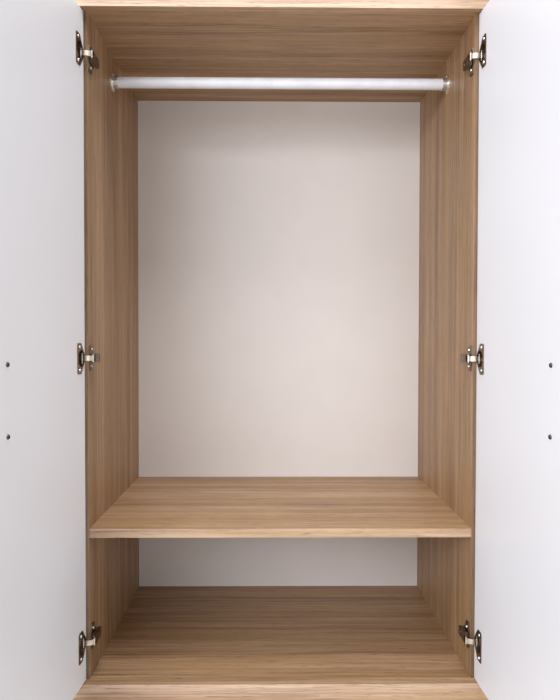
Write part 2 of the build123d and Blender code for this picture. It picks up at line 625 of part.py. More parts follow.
for hand in SIDES:
    with BuildPart() as door:
        slab([door_xy(hand, *point) for point in ((EDGE, 0), (DOOR_WIDTH - EDGE, 0),
                                                  (DOOR_WIDTH - EDGE, BOARD), (EDGE, BOARD))],
             DOOR_LOW + EDGE, DOOR_HIGH - EDGE)
        for height in HINGE_HEIGHTS.values():
            rod(door_plane(hand, CUP_FROM_EDGE, 0, height), BORE_RADIUS, BORE_DEPTH, Mode.SUBTRACT)
        cup_screws(hand, FIT, Mode.SUBTRACT)
        handle_screws(hand, FIT, Mode.SUBTRACT)
    save(door.part, f"door_{hand}")

    with BuildPart() as door_band:
        slab([door_xy(hand, *point) for point in ((0, 0), (DOOR_WIDTH, 0), (DOOR_WIDTH, BOARD), (0, BOARD))],
             DOOR_LOW, DOOR_HIGH)
        slab([door_xy(hand, *point) for point in ((EDGE, -1), (DOOR_WIDTH - EDGE, -1),
                                                  (DOOR_WIDTH - EDGE, BOARD + 1), (EDGE, BOARD + 1))],
             DOOR_LOW + EDGE, DOOR_HIGH - EDGE, Mode.SUBTRACT)
    save(door_band.part, f"door_edge_band_{hand}")

    with BuildPart() as handle:
        for offset in (-HANDLE_HOLES / 2, HANDLE_HOLES / 2):
            foot = door_plane(hand, HANDLE_FROM_HINGE_EDGE, BOARD, Z_HANDLE + offset)
            rod(foot, HANDLE_POST, HANDLE_REACH)
        bar = door_xy(hand, HANDLE_FROM_HINGE_EDGE, BOARD + HANDLE_REACH)
        reach = HANDLE_HOLES / 2 + HANDLE_END
        post(bar, HANDLE_BAR, Z_HANDLE - reach, Z_HANDLE + reach)
        bar_ends = handle.edges().filter_by(GeomType.CIRCLE).filter_by_position(
            Axis.Z, Z_HANDLE - reach - 1, Z_HANDLE - reach + 1)
        bar_ends += handle.edges().filter_by(GeomType.CIRCLE).filter_by_position(
            Axis.Z, Z_HANDLE + reach - 1, Z_HANDLE + reach + 1)
        chamfer(bar_ends, HANDLE_CHAMFER)
        handle_screws(hand, FIT, Mode.SUBTRACT)
    save(handle.part, f"handle_{hand}")

    with BuildPart() as handle_screw_group:
        handle_screws(hand, 0)
        for offset in (-HANDLE_HOLES / 2, HANDLE_HOLES / 2):
            rod(door_plane(hand, HANDLE_FROM_HINGE_EDGE, 0, Z_HANDLE + offset), HANDLE_HEAD, -HANDLE_HEAD_HEIGHT)
    save(handle_screw_group.part, f"handle_screws_{hand}")
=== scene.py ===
"""A two-door wardrobe dressed on its CAD frame: oak-decor boards, white doors, rail and concealed hinges."""
import json
import math

import bmesh
import bpy
import numpy as np
from mathutils import Matrix, Vector

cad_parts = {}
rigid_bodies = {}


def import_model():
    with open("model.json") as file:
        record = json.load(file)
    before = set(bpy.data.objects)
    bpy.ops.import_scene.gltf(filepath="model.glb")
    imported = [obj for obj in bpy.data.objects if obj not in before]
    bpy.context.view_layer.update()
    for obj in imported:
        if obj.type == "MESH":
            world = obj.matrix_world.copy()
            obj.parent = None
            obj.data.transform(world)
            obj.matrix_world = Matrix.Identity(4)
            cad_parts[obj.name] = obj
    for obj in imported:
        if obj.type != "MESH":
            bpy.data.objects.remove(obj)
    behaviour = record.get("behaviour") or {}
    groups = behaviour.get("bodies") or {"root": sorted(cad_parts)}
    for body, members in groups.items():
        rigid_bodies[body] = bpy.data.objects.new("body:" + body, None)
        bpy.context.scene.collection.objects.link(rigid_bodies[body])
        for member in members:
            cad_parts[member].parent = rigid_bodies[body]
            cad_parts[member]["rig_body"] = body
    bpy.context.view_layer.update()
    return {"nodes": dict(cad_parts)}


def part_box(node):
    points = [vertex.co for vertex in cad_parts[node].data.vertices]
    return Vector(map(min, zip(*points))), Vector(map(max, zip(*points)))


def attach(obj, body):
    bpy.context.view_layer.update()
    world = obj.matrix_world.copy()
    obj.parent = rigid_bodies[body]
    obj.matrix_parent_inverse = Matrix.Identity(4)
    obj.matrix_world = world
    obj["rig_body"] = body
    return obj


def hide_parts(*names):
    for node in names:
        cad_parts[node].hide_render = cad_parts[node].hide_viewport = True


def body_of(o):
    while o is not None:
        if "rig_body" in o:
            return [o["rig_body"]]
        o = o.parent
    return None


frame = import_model()

bl_info = {
    "name": "Two-Door Wardrobe",
    "version": (1, 0, 0),
    "blender": (4, 5, 0),
    "location": "3D View > Sidebar > Wardrobe",
    "description": "Finishes, hinge hardware, screws and a studio for a two-door wardrobe",
    "category": "Object",
}

MM = 0.001
HANDS = ("left", "right")
LEVELS = ("bottom", "middle", "top")
UPRIGHT, LEVEL = 2, 0          # the axis that the grain follows
SMOOTH_ANGLE = math.radians(32)
MERGE = 1e-6
FLAT_ANGLE = math.radians(0.6)
CAP_REACH = 5e-5               # how near to a screw's end a point belongs to its flat face
SCREW_SIDES = 24
BEVEL_STEPS = 2

# oak decor: how far apart each part of the print is drawn, and how far it is stretched along the grain
WANDER_LENGTH, WANDER_REACH = 300 * MM, 12 * MM
RING_SPACING, STREAK_SPACING, DRIFT_SPACING = 38 * MM, 5 * MM, 46 * MM
PORE_WIDTH = 2.2 * MM          # real pores are under 1 mm; drawn wider so that they show
LONG_STRETCH, SHORT_STRETCH = 0.018, 0.07
PORE_DEPTH = 0.15 * MM
# painted light: the edge bands and the plinth are drawn lighter where the lamps fall on their fronts
BAND_PAINTED_LIGHT, PLINTH_PAINTED_LIGHT = (1.12, 1.24, 1.6), (1.18, 1.26, 1.52)
# painted shade: the upright edge bands are darkened like the shaded side panels beside them
UPRIGHT_BAND_PAINTED_SHADE = (0.42, 0.38, 0.33, 1.0)

# other surfaces: sizes and depths of their patterns
PEARL_SIZE, PEARL_DEPTH, CLOUD_SIZE = 2.5 * MM, 0.08 * MM, 180 * MM     # real pearl is under 1 mm
DRAG_SPACING, DRAG_DEPTH = 1.2 * MM, 0.05 * MM
MOTTLE_SIZE = 90 * MM
FIBRE_CLUMP, FIBRE_DEPTH = 3 * MM, 0.2 * MM                             # single fibres are 0.1 mm
LACQUER = 0.3 * MM
PEEL_SIZE, PEEL_DEPTH, RUB_SIZE = 1.6 * MM, 0.08 * MM, 35 * MM
BATH_SIZE, PLATING_DEPTH = 14 * MM, 0.05 * MM
SCUFF_SIZE, SCUFF_HEIGHT = 2 * MM, 1.5 * MM
FLECK_SIZE = 1.2 * MM
ROLLER_SIZE = 12 * MM
RESIN_IOR, ABS_IOR, POLYETHYLENE_IOR = 1.5, 1.53, 1.51

# screws: shank and pan head's flat top as shares of the head's radius, recess as a share of its height
SHANK_SHARE, PAN_TOP_SHARE, RECESS_DEPTH = 0.5, 0.8, 1.3
QUARTER_TURN = 1.57            # a cross recess looks the same after this turn

FLOOR_REACH = 9.0
# where each lamp stands, where it points and how wide it is
LAMPS = {
    "key": ((-1.25, -3.1, 1.5), (0.1, 0.2, 0.7), 1.5),
    "fill": ((0.7, -3.2, 1.0), (0.0, 0.2, 0.7), 1.2),
    "overhead": ((0.05, -1.15, 2.7), (0.0, 0.0, 0.4), 1.0),
}


def linear(code):
    """An sRGB hex colour as the linear RGBA that shaders take."""
    parts = [int(code[i:i + 2], 16) / 255 for i in (1, 3, 5)]
    return [*(p / 12.92 if p <= 0.04045 else ((p + 0.055) / 1.055) ** 2.4 for p in parts), 1.0]


def add(tree, kind, inputs=None, **settings):
    """Add a node with its own settings; inputs maps a socket to a value or to another node's output."""
    made = tree.nodes.new(kind)
    for name, value in settings.items():
        setattr(made, name, value)
    for key, value in (inputs or {}).items():
        if isinstance(value, bpy.types.NodeSocket):
            tree.links.new(value, made.inputs[key])
        else:
            made.inputs[key].default_value = value
    return made


def tint(prop):
    """A colour property as RGBA."""
    return [*prop, 1.0]


# ---- sizes and colours a user would change -------------------------------------------------------
class WardrobeFinish(bpy.types.PropertyGroup):
    """Colours of the boards, the doors and the metal."""
    oak_pale: bpy.props.FloatVectorProperty(
        name="Oak, pale", description="Early wood of the oak decor", subtype="COLOR", min=0, max=1,
        default=linear("#be9c78")[:3])
    oak_deep: bpy.props.FloatVectorProperty(
        name="Oak, deep", description="Late wood of the oak decor", subtype="COLOR", min=0, max=1,
        default=linear("#704e2f")[:3])
    oak_olive: bpy.props.FloatVectorProperty(
        name="Oak, olive", description="Broad greener drifts in the oak decor", subtype="COLOR", min=0, max=1,
        default=linear("#9c7849")[:3])
    oak_pore: bpy.props.FloatVectorProperty(
        name="Oak, pores", description="Printed pores and short dark flecks", subtype="COLOR", min=0, max=1,
        default=linear("#4a341f")[:3])
    door_white: bpy.props.FloatVectorProperty(
        name="Door white", description="Melamine on both faces of the doors", subtype="COLOR", min=0, max=1,
        default=linear("#e9eaef")[:3])
    band_white: bpy.props.FloatVectorProperty(
        name="Door edge", description="Edge band of the doors", subtype="COLOR", min=0, max=1,
        default=linear("#efe8da")[:3])
    sheet_white: bpy.props.FloatVectorProperty(
        name="Back sheet", description="Lacquered inner face of the back sheet", subtype="COLOR",
        min=0, max=1, default=linear("#ccc4be")[:3])
    rail_white: bpy.props.FloatVectorProperty(
        name="Rail", description="Powder coat of the hanging rail", subtype="COLOR", min=0, max=1,
        default=linear("#dddde2")[:3])
    nickel: bpy.props.FloatVectorProperty(
        name="Hinge nickel", description="Plating of the hinge cups, arms and plates", subtype="COLOR",
        min=0, max=1, default=linear("#8a7763")[:3])


class WardrobeHardware(bpy.types.PropertyGroup):
    """Sizes of the small hardware."""
    steel_round: bpy.props.FloatProperty(
        name="Pressed edge", description="Radius on the edges of pressed steel pieces", unit="LENGTH",
        default=0.35 * MM, min=0.05 * MM, max=1 * MM)
    band_round: bpy.props.FloatProperty(
        name="Door edge radius", description="Radius on the edge bands of the doors", unit="LENGTH",
        default=0.7 * MM, min=0.1 * MM, max=0.75 * MM)
    recess_width: bpy.props.FloatProperty(
        name="Recess width", description="Width of each slot of the cross recess, as a share of the head",
        subtype="FACTOR", default=0.24, min=0.1, max=0.5)
    recess_span: bpy.props.FloatProperty(
        name="Recess span", description="Length of each slot of the recess, as a share of the head",
        subtype="FACTOR", default=0.62, min=0.3, max=0.9)
    screw_seed: bpy.props.IntProperty(
        name="Screw seed", description="Which way each screw happened to stop turning", default=7, min=0)


class WardrobeStage(bpy.types.PropertyGroup):
    """Camera and light."""
    lens: bpy.props.FloatProperty(
        name="Lens", description="Focal length", subtype="DISTANCE_CAMERA", default=34.42, min=10, max=200)
    eye: bpy.props.FloatVectorProperty(
        name="Camera", description="Where the camera stands", subtype="TRANSLATION", unit="LENGTH",
        default=(-0.0178, -1.5679, 0.7857))
    turn: bpy.props.FloatVectorProperty(
        name="Camera turn", description="Pitch up, yaw right and roll", subtype="EULER", unit="ROTATION",
        default=(-0.0212, 0.0115, 0.0017))
    key_power: bpy.props.FloatProperty(
        name="Key light", description="Power of the large soft light on the left", unit="POWER",
        default=93, min=0)
    fill_power: bpy.props.FloatProperty(
        name="Fill light", description="Power of the soft light on the right", unit="POWER",
        default=18, min=0)
    overhead_power: bpy.props.FloatProperty(
        name="Overhead light", description="Power of the soft light above the open doors", unit="POWER",
        default=37, min=0)
    sky: bpy.props.FloatProperty(
        name="Room light", description="Strength of the even light from all round", default=0.51, min=0)
    sky_tint: bpy.props.FloatVectorProperty(
        name="Room light colour", description="Colour of the light from all round", subtype="COLOR",
        min=0, max=1, default=linear("#f6f0e6")[:3])
    key_tint: bpy.props.FloatVectorProperty(
        name="Key light colour", description="Colour of the three soft lamps", subtype="COLOR",
        min=0, max=1, default=linear("#f5f8ff")[:3])
    floor_pale: bpy.props.FloatVectorProperty(
        name="Floor", description="Colour of the studio floor", subtype="COLOR", min=0, max=1,
        default=linear("#dedcd8")[:3])


# ---- materials -----------------------------------------------------------------------------------
def blank(name):
    """A new material with only its shader and output; returns (material, tree, shader)."""
    material = bpy.data.materials.new(name)
    material.use_nodes = True
    tree = material.node_tree
    tree.nodes.clear()
    shader = add(tree, "ShaderNodeBsdfPrincipled")
    add(tree, "ShaderNodeOutputMaterial", {"Surface": shader.outputs[0]})
    return material, tree, shader


def cover(tree, shader, colour, roughness, relief):
    """Link a surface's colour, roughness and relief nodes' outputs to the shader."""
    for socket, value in (("Base Color", colour), ("Roughness", roughness), ("Normal", relief)):
        tree.links.new(value, shader.inputs[socket])


def oak_decor(name, finish, grain, painted_light=(1.0, 1.0, 1.0), roughness=0.46):
    """Oak-print melamine board: a paper decor under matt resin, so the grain is drawn and the sheen is even.

    The eye gets fine straight streaks along the board, broad pinkish and olive drifts, and short dark pores
    that are pressed slightly into the resin. grain is the axis it follows, or None for an edge band that
    turns with its board; such a band's upright pieces are darkened as painted shade. The colour factor
    multiplies the decor's colours as painted light, drawing edge bands and plinth lighter where the lamps
    fall on their fronts.
    """
    material, tree, shader = blank(name)
    place = add(tree, "ShaderNodeTexCoord").outputs["Object"]
    upright = None
    if grain is None:
        # bands on the side panels' front edges run upright, all others run level: swap X and Z there
        at = add(tree, "ShaderNodeSeparateXYZ", {0: place})
        beside = add(tree, "ShaderNodeMath", {0: at.outputs[0]}, operation="ABSOLUTE")
        outer = add(tree, "ShaderNodeMath", {0: beside.outputs[0], 1: SIDE_INNER}, operation="GREATER_THAN")
        height = add(tree, "ShaderNodeMath", {0: at.outputs[2], 1: SIDE_MIDDLE_HEIGHT, 2: SIDE_HALF_HEIGHT},
                     operation="COMPARE")
        upright = add(tree, "ShaderNodeMath", {0: outer.outputs[0], 1: height.outputs[0]},
                      operation="MULTIPLY")
        turned = add(tree, "ShaderNodeCombineXYZ", {0: at.outputs[2], 1: at.outputs[1], 2: at.outputs[0]})
        place = add(tree, "ShaderNodeMix", {0: upright.outputs[0], 4: place, 5: turned.outputs[0]},
                    data_type="VECTOR").outputs[1]
        grain = LEVEL
    # the streaks wander a few millimetres over a forearm's length
    wander = add(tree, "ShaderNodeTexNoise", {"Vector": place, "Scale": 1 / WANDER_LENGTH, "Detail": 1.0})
    centred = add(tree, "ShaderNodeVectorMath", {0: wander.outputs["Color"], 1: (0.5, 0.5, 0.5)},
                  operation="SUBTRACT")
    swayed = add(tree, "ShaderNodeVectorMath", {0: centred.outputs[0], 1: (WANDER_REACH,) * 3, 2: place},
                 operation="MULTIPLY_ADD")
    long_grain, short_grain = [1.0] * 3, [1.0] * 3
    long_grain[grain], short_grain[grain] = LONG_STRETCH, SHORT_STRETCH
    along = add(tree, "ShaderNodeMapping", {"Vector": swayed.outputs[0], "Scale": long_grain}).outputs[0]
    dashes = add(tree, "ShaderNodeMapping", {"Vector": swayed.outputs[0], "Scale": short_grain}).outputs[0]
    # growth rings, fine streaks and drifts run the length of the board; pores are short
    rings = add(tree, "ShaderNodeTexNoise", {"Vector": along, "Scale": 1 / RING_SPACING, "Detail": 4.0,
                                             "Roughness": 0.6})
    streaks = add(tree, "ShaderNodeTexNoise", {"Vector": along, "Scale": 1 / STREAK_SPACING, "Detail": 5.0,
                                               "Roughness": 0.62})
    pores = add(tree, "ShaderNodeTexNoise", {"Vector": dashes, "Scale": 1 / PORE_WIDTH, "Detail": 3.0,
                                             "Roughness": 0.5})
    drift = add(tree, "ShaderNodeTexNoise", {"Vector": dashes, "Scale": 1 / DRIFT_SPACING, "Detail": 1.5})
    ring_band = add(tree, "ShaderNodeMapRange", {0: rings.outputs[0], 1: 0.38, 2: 0.62})
    fine_band = add(tree, "ShaderNodeMapRange", {0: streaks.outputs[0], 1: 0.36, 2: 0.66})
    grain_mix = add(tree, "ShaderNodeMix", {0: 0.55, 2: ring_band.outputs[0], 3: fine_band.outputs[0]})
    drift_band = add(tree, "ShaderNodeMapRange", {0: drift.outputs[0], 1: 0.45, 2: 0.68, 3: 0.0, 4: 0.5})
    pore_band = add(tree, "ShaderNodeMapRange", {0: pores.outputs[0], 1: 0.57, 2: 0.72, 3: 0.0, 4: 0.5})
    # the colour factor is painted light on the edge bands and plinth
    pale, deep, olive = ([channel * by for channel, by in zip(colour, painted_light)]
                         for colour in (finish.oak_pale, finish.oak_deep, finish.oak_olive))
    wood = add(tree, "ShaderNodeMix", {0: grain_mix.outputs[0], 6: tint(pale), 7: tint(deep)},
               data_type="RGBA")
    warm = add(tree, "ShaderNodeMix", {0: drift_band.outputs[0], 6: wood.outputs[2], 7: tint(olive)},
               data_type="RGBA")
    print_with_painted_light = add(tree, "ShaderNodeMix", {0: pore_band.outputs[0], 6: warm.outputs[2],
                                          7: tint(finish.oak_pore)}, data_type="RGBA")
    if upright is not None:
        # painted shade: the bands on the side panels' front edges are darkened to match the shaded side
        # panels beside them, a shade deeper than the level ones
        print_with_painted_light = add(tree, "ShaderNodeMix", {0: upright.outputs[0], 6: print_with_painted_light.outputs[2], 7: UPRIGHT_BAND_PAINTED_SHADE},
                      data_type="RGBA", blend_type="MULTIPLY")
    matt = add(tree, "ShaderNodeMapRange", {0: pores.outputs[0], 3: roughness - 0.06, 4: roughness + 0.12})
    pressed = add(tree, "ShaderNodeBump", {"Height": pores.outputs[0], "Strength": 0.12,
                                           "Distance": PORE_DEPTH}, invert=True)
    cover(tree, shader, print_with_painted_light.outputs[2], matt.outputs[0], pressed.outputs[0])
    shader.inputs["IOR"].default_value = RESIN_IOR
    return material


def white_melamine(finish):
    """White melamine board, pressed against a fine-pearl plate: an even satin white with a faint grit."""
    material, tree, shader = blank("white_melamine_pearl")
    place = add(tree, "ShaderNodeTexCoord").outputs["Object"]
    pearl = add(tree, "ShaderNodeTexNoise", {"Vector": place, "Scale": 1 / PEARL_SIZE, "Detail": 2.0})
    cloud = add(tree, "ShaderNodeTexNoise", {"Vector": place, "Scale": 1 / CLOUD_SIZE, "Detail": 2.0})
    soft = add(tree, "ShaderNodeMapRange", {0: cloud.outputs[0], 1: 0.3, 2: 0.7, 3: 0.0, 4: 0.35})
    shade = add(tree, "ShaderNodeMix", {0: soft.outputs[0], 6: tint(finish.door_white),
                                        7: tint([c * 0.95 for c in finish.door_white])}, data_type="RGBA")
    satin = add(tree, "ShaderNodeMapRange", {0: pearl.outputs[0], 3: 0.30, 4: 0.44})
    grit = add(tree, "ShaderNodeBump", {"Height": pearl.outputs[0], "Strength": 0.10,
                                        "Distance": PEARL_DEPTH})
    cover(tree, shader, shade.outputs[2], satin.outputs[0], grit.outputs[0])
    shader.inputs["IOR"].default_value = RESIN_IOR
    return material


def edge_band_plastic(finish):
    """Extruded ABS edge band, buffed after gluing: creamier and smoother than the board, with drag lines."""
    material, tree, shader = blank("white_abs_edge_band")
    place = add(tree, "ShaderNodeTexCoord").outputs["Object"]
    drawn = add(tree, "ShaderNodeMapping", {"Vector": place, "Scale": (1.0, 1.0, 0.02)}).outputs[0]
    lines = add(tree, "ShaderNodeTexNoise", {"Vector": drawn, "Scale": 1 / DRAG_SPACING, "Detail": 2.0})
    shade = add(tree, "ShaderNodeMix", {0: lines.outputs[0], 6: tint(finish.band_white),
                                        7: tint([c * 0.92 for c in finish.band_white])}, data_type="RGBA")
    buffed = add(tree, "ShaderNodeMapRange", {0: lines.outputs[0], 3: 0.24, 4: 0.38})
    drag = add(tree, "ShaderNodeBump", {"Height": lines.outputs[0], "Strength": 0.08,
                                        "Distance": DRAG_DEPTH})
    cover(tree, shader, shade.outputs[2], buffed.outputs[0], drag.outputs[0])
    shader.inputs["IOR"].default_value = ABS_IOR
    return material


def lacquered_hardboard(finish):
    """Hardboard, white lacquer inside and raw wood fibre behind: a flat white with a soft mottle, and from
    behind a brown felted sheet with darker fibres."""
    material, tree, shader = blank("lacquered_hardboard")
    place = add(tree, "ShaderNodeTexCoord").outputs["Object"]
    at = add(tree, "ShaderNodeSeparateXYZ", {0: place})
    raw = add(tree, "ShaderNodeMath", {0: at.outputs[1], 1: SHEET_FACE + LACQUER}, operation="GREATER_THAN")
    mottle = add(tree, "ShaderNodeTexNoise", {"Vector": place, "Scale": 1 / MOTTLE_SIZE, "Detail": 3.0})
    fibre = add(tree, "ShaderNodeTexNoise", {"Vector": place, "Scale": 1 / FIBRE_CLUMP, "Detail": 5.0,
                                             "Roughness": 0.7, "Distortion": 0.6})
    white = add(tree, "ShaderNodeMix", {0: mottle.outputs[0], 6: tint(finish.sheet_white),
                                        7: tint([c * 0.93 for c in finish.sheet_white])}, data_type="RGBA")
    clump = add(tree, "ShaderNodeMapRange", {0: fibre.outputs[0], 1: 0.35, 2: 0.7})
    brown = add(tree, "ShaderNodeMix", {0: clump.outputs[0], 6: linear("#9a7650"), 7: linear("#6f4f33")},
                data_type="RGBA")
    colour = add(tree, "ShaderNodeMix", {0: raw.outputs[0], 6: white.outputs[2], 7: brown.outputs[2]},
                 data_type="RGBA")
    gloss = add(tree, "ShaderNodeMapRange", {0: raw.outputs[0], 3: 0.42, 4: 0.85})
    relief = add(tree, "ShaderNodeBump", {"Height": fibre.outputs[0], "Strength": 0.10,
                                          "Distance": FIBRE_DEPTH})
    cover(tree, shader, colour.outputs[2], gloss.outputs[0], relief.outputs[0])
    return material


def powder_coat(colour, low, high):
    """Powder-coated steel: a thick baked paint, slightly wavy like orange peel, with soft highlights."""
    material, tree, shader = blank("white_powder_coat")
    place = add(tree, "ShaderNodeTexCoord").outputs["Object"]
    peel = add(tree, "ShaderNodeTexNoise", {"Vector": place, "Scale": 1 / PEEL_SIZE, "Detail": 2.0})
    worn = add(tree, "ShaderNodeTexNoise", {"Vector": place, "Scale": 1 / RUB_SIZE, "Detail": 4.0})
    rubbed = add(tree, "ShaderNodeMapRange", {0: worn.outputs[0], 1: 0.35, 2: 0.7, 3: 0.0, 4: 1.0})
    shade = add(tree, "ShaderNodeMix", {0: rubbed.outputs[0], 6: tint(colour),
                                        7: tint([c * 0.9 for c in colour])}, data_type="RGBA")
    gloss = add(tree, "ShaderNodeMapRange", {0: worn.outputs[0], 3: low, 4: high})
    waves = add(tree, "ShaderNodeBump", {"Height": peel.outputs[0], "Strength": 0.15, "Distance": PEEL_DEPTH})
    cover(tree, shader, shade.outputs[2], gloss.outputs[0], waves.outputs[0])
    return material


def plated_steel(name, colour, dull, low, high, stretch=(1.0, 1.0, 1.0), size=4 * MM):
    """Plated steel: metal with a slightly uneven bath, so highlights break up and duller patches show.

    stretch draws the pattern out along an axis, as brushing or wire drawing does.
    """
    material, tree, shader = blank(name)
    place = add(tree, "ShaderNodeTexCoord").outputs["Object"]
    drawn = add(tree, "ShaderNodeMapping", {"Vector": place, "Scale": stretch}).outputs[0]
    marks = add(tree, "ShaderNodeTexNoise", {"Vector": drawn, "Scale": 1 / size, "Detail": 4.0,
                                             "Roughness": 0.6})
    bath = add(tree, "ShaderNodeTexNoise", {"Vector": place, "Scale": 1 / BATH_SIZE, "Detail": 2.0})
    patch = add(tree, "ShaderNodeMapRange", {0: bath.outputs[0], 1: 0.35, 2: 0.7})
    shade = add(tree, "ShaderNodeMix", {0: patch.outputs[0], 6: colour, 7: dull}, data_type="RGBA")
    gloss = add(tree, "ShaderNodeMapRange", {0: marks.outputs[0], 1: 0.3, 2: 0.7, 3: low, 4: high})
    relief = add(tree, "ShaderNodeBump", {"Height": marks.outputs[0], "Strength": 0.12,
                                          "Distance": PLATING_DEPTH})
    cover(tree, shader, shade.outputs[2], gloss.outputs[0], relief.outputs[0])
    shader.inputs["Metallic"].default_value = 1.0
    return material


def moulded_plastic():
    """Injection-moulded polyethylene glide: dark brown, waxy, scuffed paler underneath where it slides."""
    material, tree, shader = blank("brown_polyethylene")
    place = add(tree, "ShaderNodeTexCoord").outputs["Object"]
    scuff = add(tree, "ShaderNodeTexNoise", {"Vector": place, "Scale": 1 / SCUFF_SIZE, "Detail": 4.0})
    height = add(tree, "ShaderNodeSeparateXYZ", {0: place})
    under = add(tree, "ShaderNodeMapRange", {0: height.outputs[2], 1: 0.0, 2: SCUFF_HEIGHT, 3: 0.7, 4: 0.1})
    worn = add(tree, "ShaderNodeMath", {0: under.outputs[0], 1: scuff.outputs[0]}, operation="MULTIPLY")
    shade = add(tree, "ShaderNodeMix", {0: worn.outputs[0], 6: linear("#43352b"), 7: linear("#8d7d70")},
                data_type="RGBA")
    tree.links.new(shade.outputs[2], shader.inputs["Base Color"])
    waxy = add(tree, "ShaderNodeMapRange", {0: scuff.outputs[0], 3: 0.35, 4: 0.6})
    tree.links.new(waxy.outputs[0], shader.inputs["Roughness"])
    shader.inputs["IOR"].default_value = POLYETHYLENE_IOR
    return material


def turned_beech():
    """Fluted beech dowel: pale pinkish wood with short brown flecks along its length."""
    material, tree, shader = blank("turned_beech")
    place = add(tree, "ShaderNodeTexCoord").outputs["Object"]
    along = add(tree, "ShaderNodeMapping", {"Vector": place, "Scale": (1.0, 1.0, 0.15)}).outputs[0]
    fleck = add(tree, "ShaderNodeTexNoise", {"Vector": along, "Scale": 1 / FLECK_SIZE, "Detail": 3.0})
    spot = add(tree, "ShaderNodeMapRange", {0: fleck.outputs[0], 1: 0.5, 2: 0.72})
    shade = add(tree, "ShaderNodeMix", {0: spot.outputs[0], 6: linear("#d9b48c"), 7: linear("#a9794f")},
                data_type="RGBA")
    tree.links.new(shade.outputs[2], shader.inputs["Base Color"])
    shader.inputs["Roughness"].default_value = 0.6
    return material


def studio_paint(stage):
    """Matt studio floor paint with a barely visible roller texture."""
    material, tree, shader = blank("studio_floor_paint")
    place = add(tree, "ShaderNodeTexCoord").outputs["Object"]
    roller = add(tree, "ShaderNodeTexNoise", {"Vector": place, "Scale": 1 / ROLLER_SIZE, "Detail": 2.0})
    shade = add(tree, "ShaderNodeMix", {0: roller.outputs[0], 6: tint(stage.floor_pale),
                                        7: tint([c * 0.97 for c in stage.floor_pale])}, data_type="RGBA")
    tree.links.new(shade.outputs[2], shader.inputs["Base Color"])
    shader.inputs["Roughness"].default_value = 0.7
    return material


# ---- places that come from the frame -------------------------------------------------------------
def corner(name, end, axis):
    """One coordinate of a CAD node's box: end 0 is the low corner, 1 the high one."""
    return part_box(name)[end][axis]


SIDE_INNER = corner("side_panel_right", 0, 0)
SIDE_LOW, SIDE_HIGH = corner("side_panel_right", 0, 2), corner("side_panel_right", 1, 2)
SIDE_MIDDLE_HEIGHT = (SIDE_LOW + SIDE_HIGH) / 2
SIDE_HALF_HEIGHT = (SIDE_HIGH - SIDE_LOW) / 2
SHEET_FACE = corner("back_panel", 0, 1)

BODY_OF = {name: body_of(node)[0] for name, node in frame["nodes"].items()}


# ---- making pieces -------------------------------------------------------------------------------
def dress(name, material):
    """Give a CAD node that stays in view its finish."""
    node = frame["nodes"][name]
    node.data.materials.clear()
    node.data.materials.append(material)


def finish_piece(obj, material, replaced):
    """Put a finished piece on its body, in place of the CAD nodes it stands for."""
    if not obj.data.materials:
        obj.data.materials.append(material)
    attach(obj, BODY_OF[replaced[0]])
    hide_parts(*replaced)


def rounded(name, nodes, radius, material):
    """Merged copies of CAD nodes as one piece with its edges rounded over."""
    mesh = bpy.data.meshes.new(name)
    shape = bmesh.new()
    for node in nodes:
        shape.from_mesh(frame["nodes"][node].data)
    bmesh.ops.remove_doubles(shape, verts=shape.verts, dist=MERGE)
    bmesh.ops.dissolve_limit(shape, angle_limit=FLAT_ANGLE, verts=shape.verts, edges=shape.edges)
    for face in shape.faces:
        face.smooth = True
    shape.to_mesh(mesh)
    shape.free()
    if "custom_normal" in mesh.attributes:
        mesh.attributes.remove(mesh.attributes["custom_normal"])
    mesh.materials.clear()
    mesh.set_sharp_from_angle(angle=SMOOTH_ANGLE)
    piece = bpy.data.objects.new(name, mesh)
    bpy.context.scene.collection.objects.link(piece)
    bevel = piece.modifiers.new("edges", "BEVEL")
    bevel.width, bevel.segments = radius, BEVEL_STEPS
    bevel.limit_method, bevel.angle_limit = "ANGLE", SMOOTH_ANGLE
    bevel.use_clamp_overlap = True
    bevel.harden_normals = True
    finish_piece(piece, material, nodes)


def screw_places(name):
    """Each screw of a CAD node: the middle of its head's face, the way out of it, its radius, its length."""
    shape = bmesh.new()
    shape.from_mesh(frame["nodes"][name].data)
    bmesh.ops.remove_doubles(shape, verts=shape.verts, dist=MERGE)
    left, places = set(shape.verts), []
    while left:
        group, edge = set(), [left.pop()]
        while edge:
            vert = edge.pop()
            group.add(vert)
            for link in vert.link_edges:
                other = link.other_vert(vert)
                if other in left:
                    left.remove(other)
                    edge.append(other)
        points = np.array([v.co[:] for v in group])
        middle = points.mean(axis=0)
        axis = np.linalg.svd(points - middle, full_matrices=False)[2][0]
        reach = (points - middle) @ axis
        caps = [points[np.abs(reach - end) < CAP_REACH] for end in (reach.min(), reach.max())]
        widths = [np.linalg.norm(cap - cap.mean(axis=0), axis=1).max() for cap in caps]
        head = int(widths[1] > widths[0])
        out = caps[head].mean(axis=0) - caps[1 - head].mean(axis=0)
        length = float(np.linalg.norm(out))
        face = Vector(caps[head].mean(axis=0))
        places.append((face, Vector(out).normalized(), float(widths[head]), length))
    shape.free()
    return places


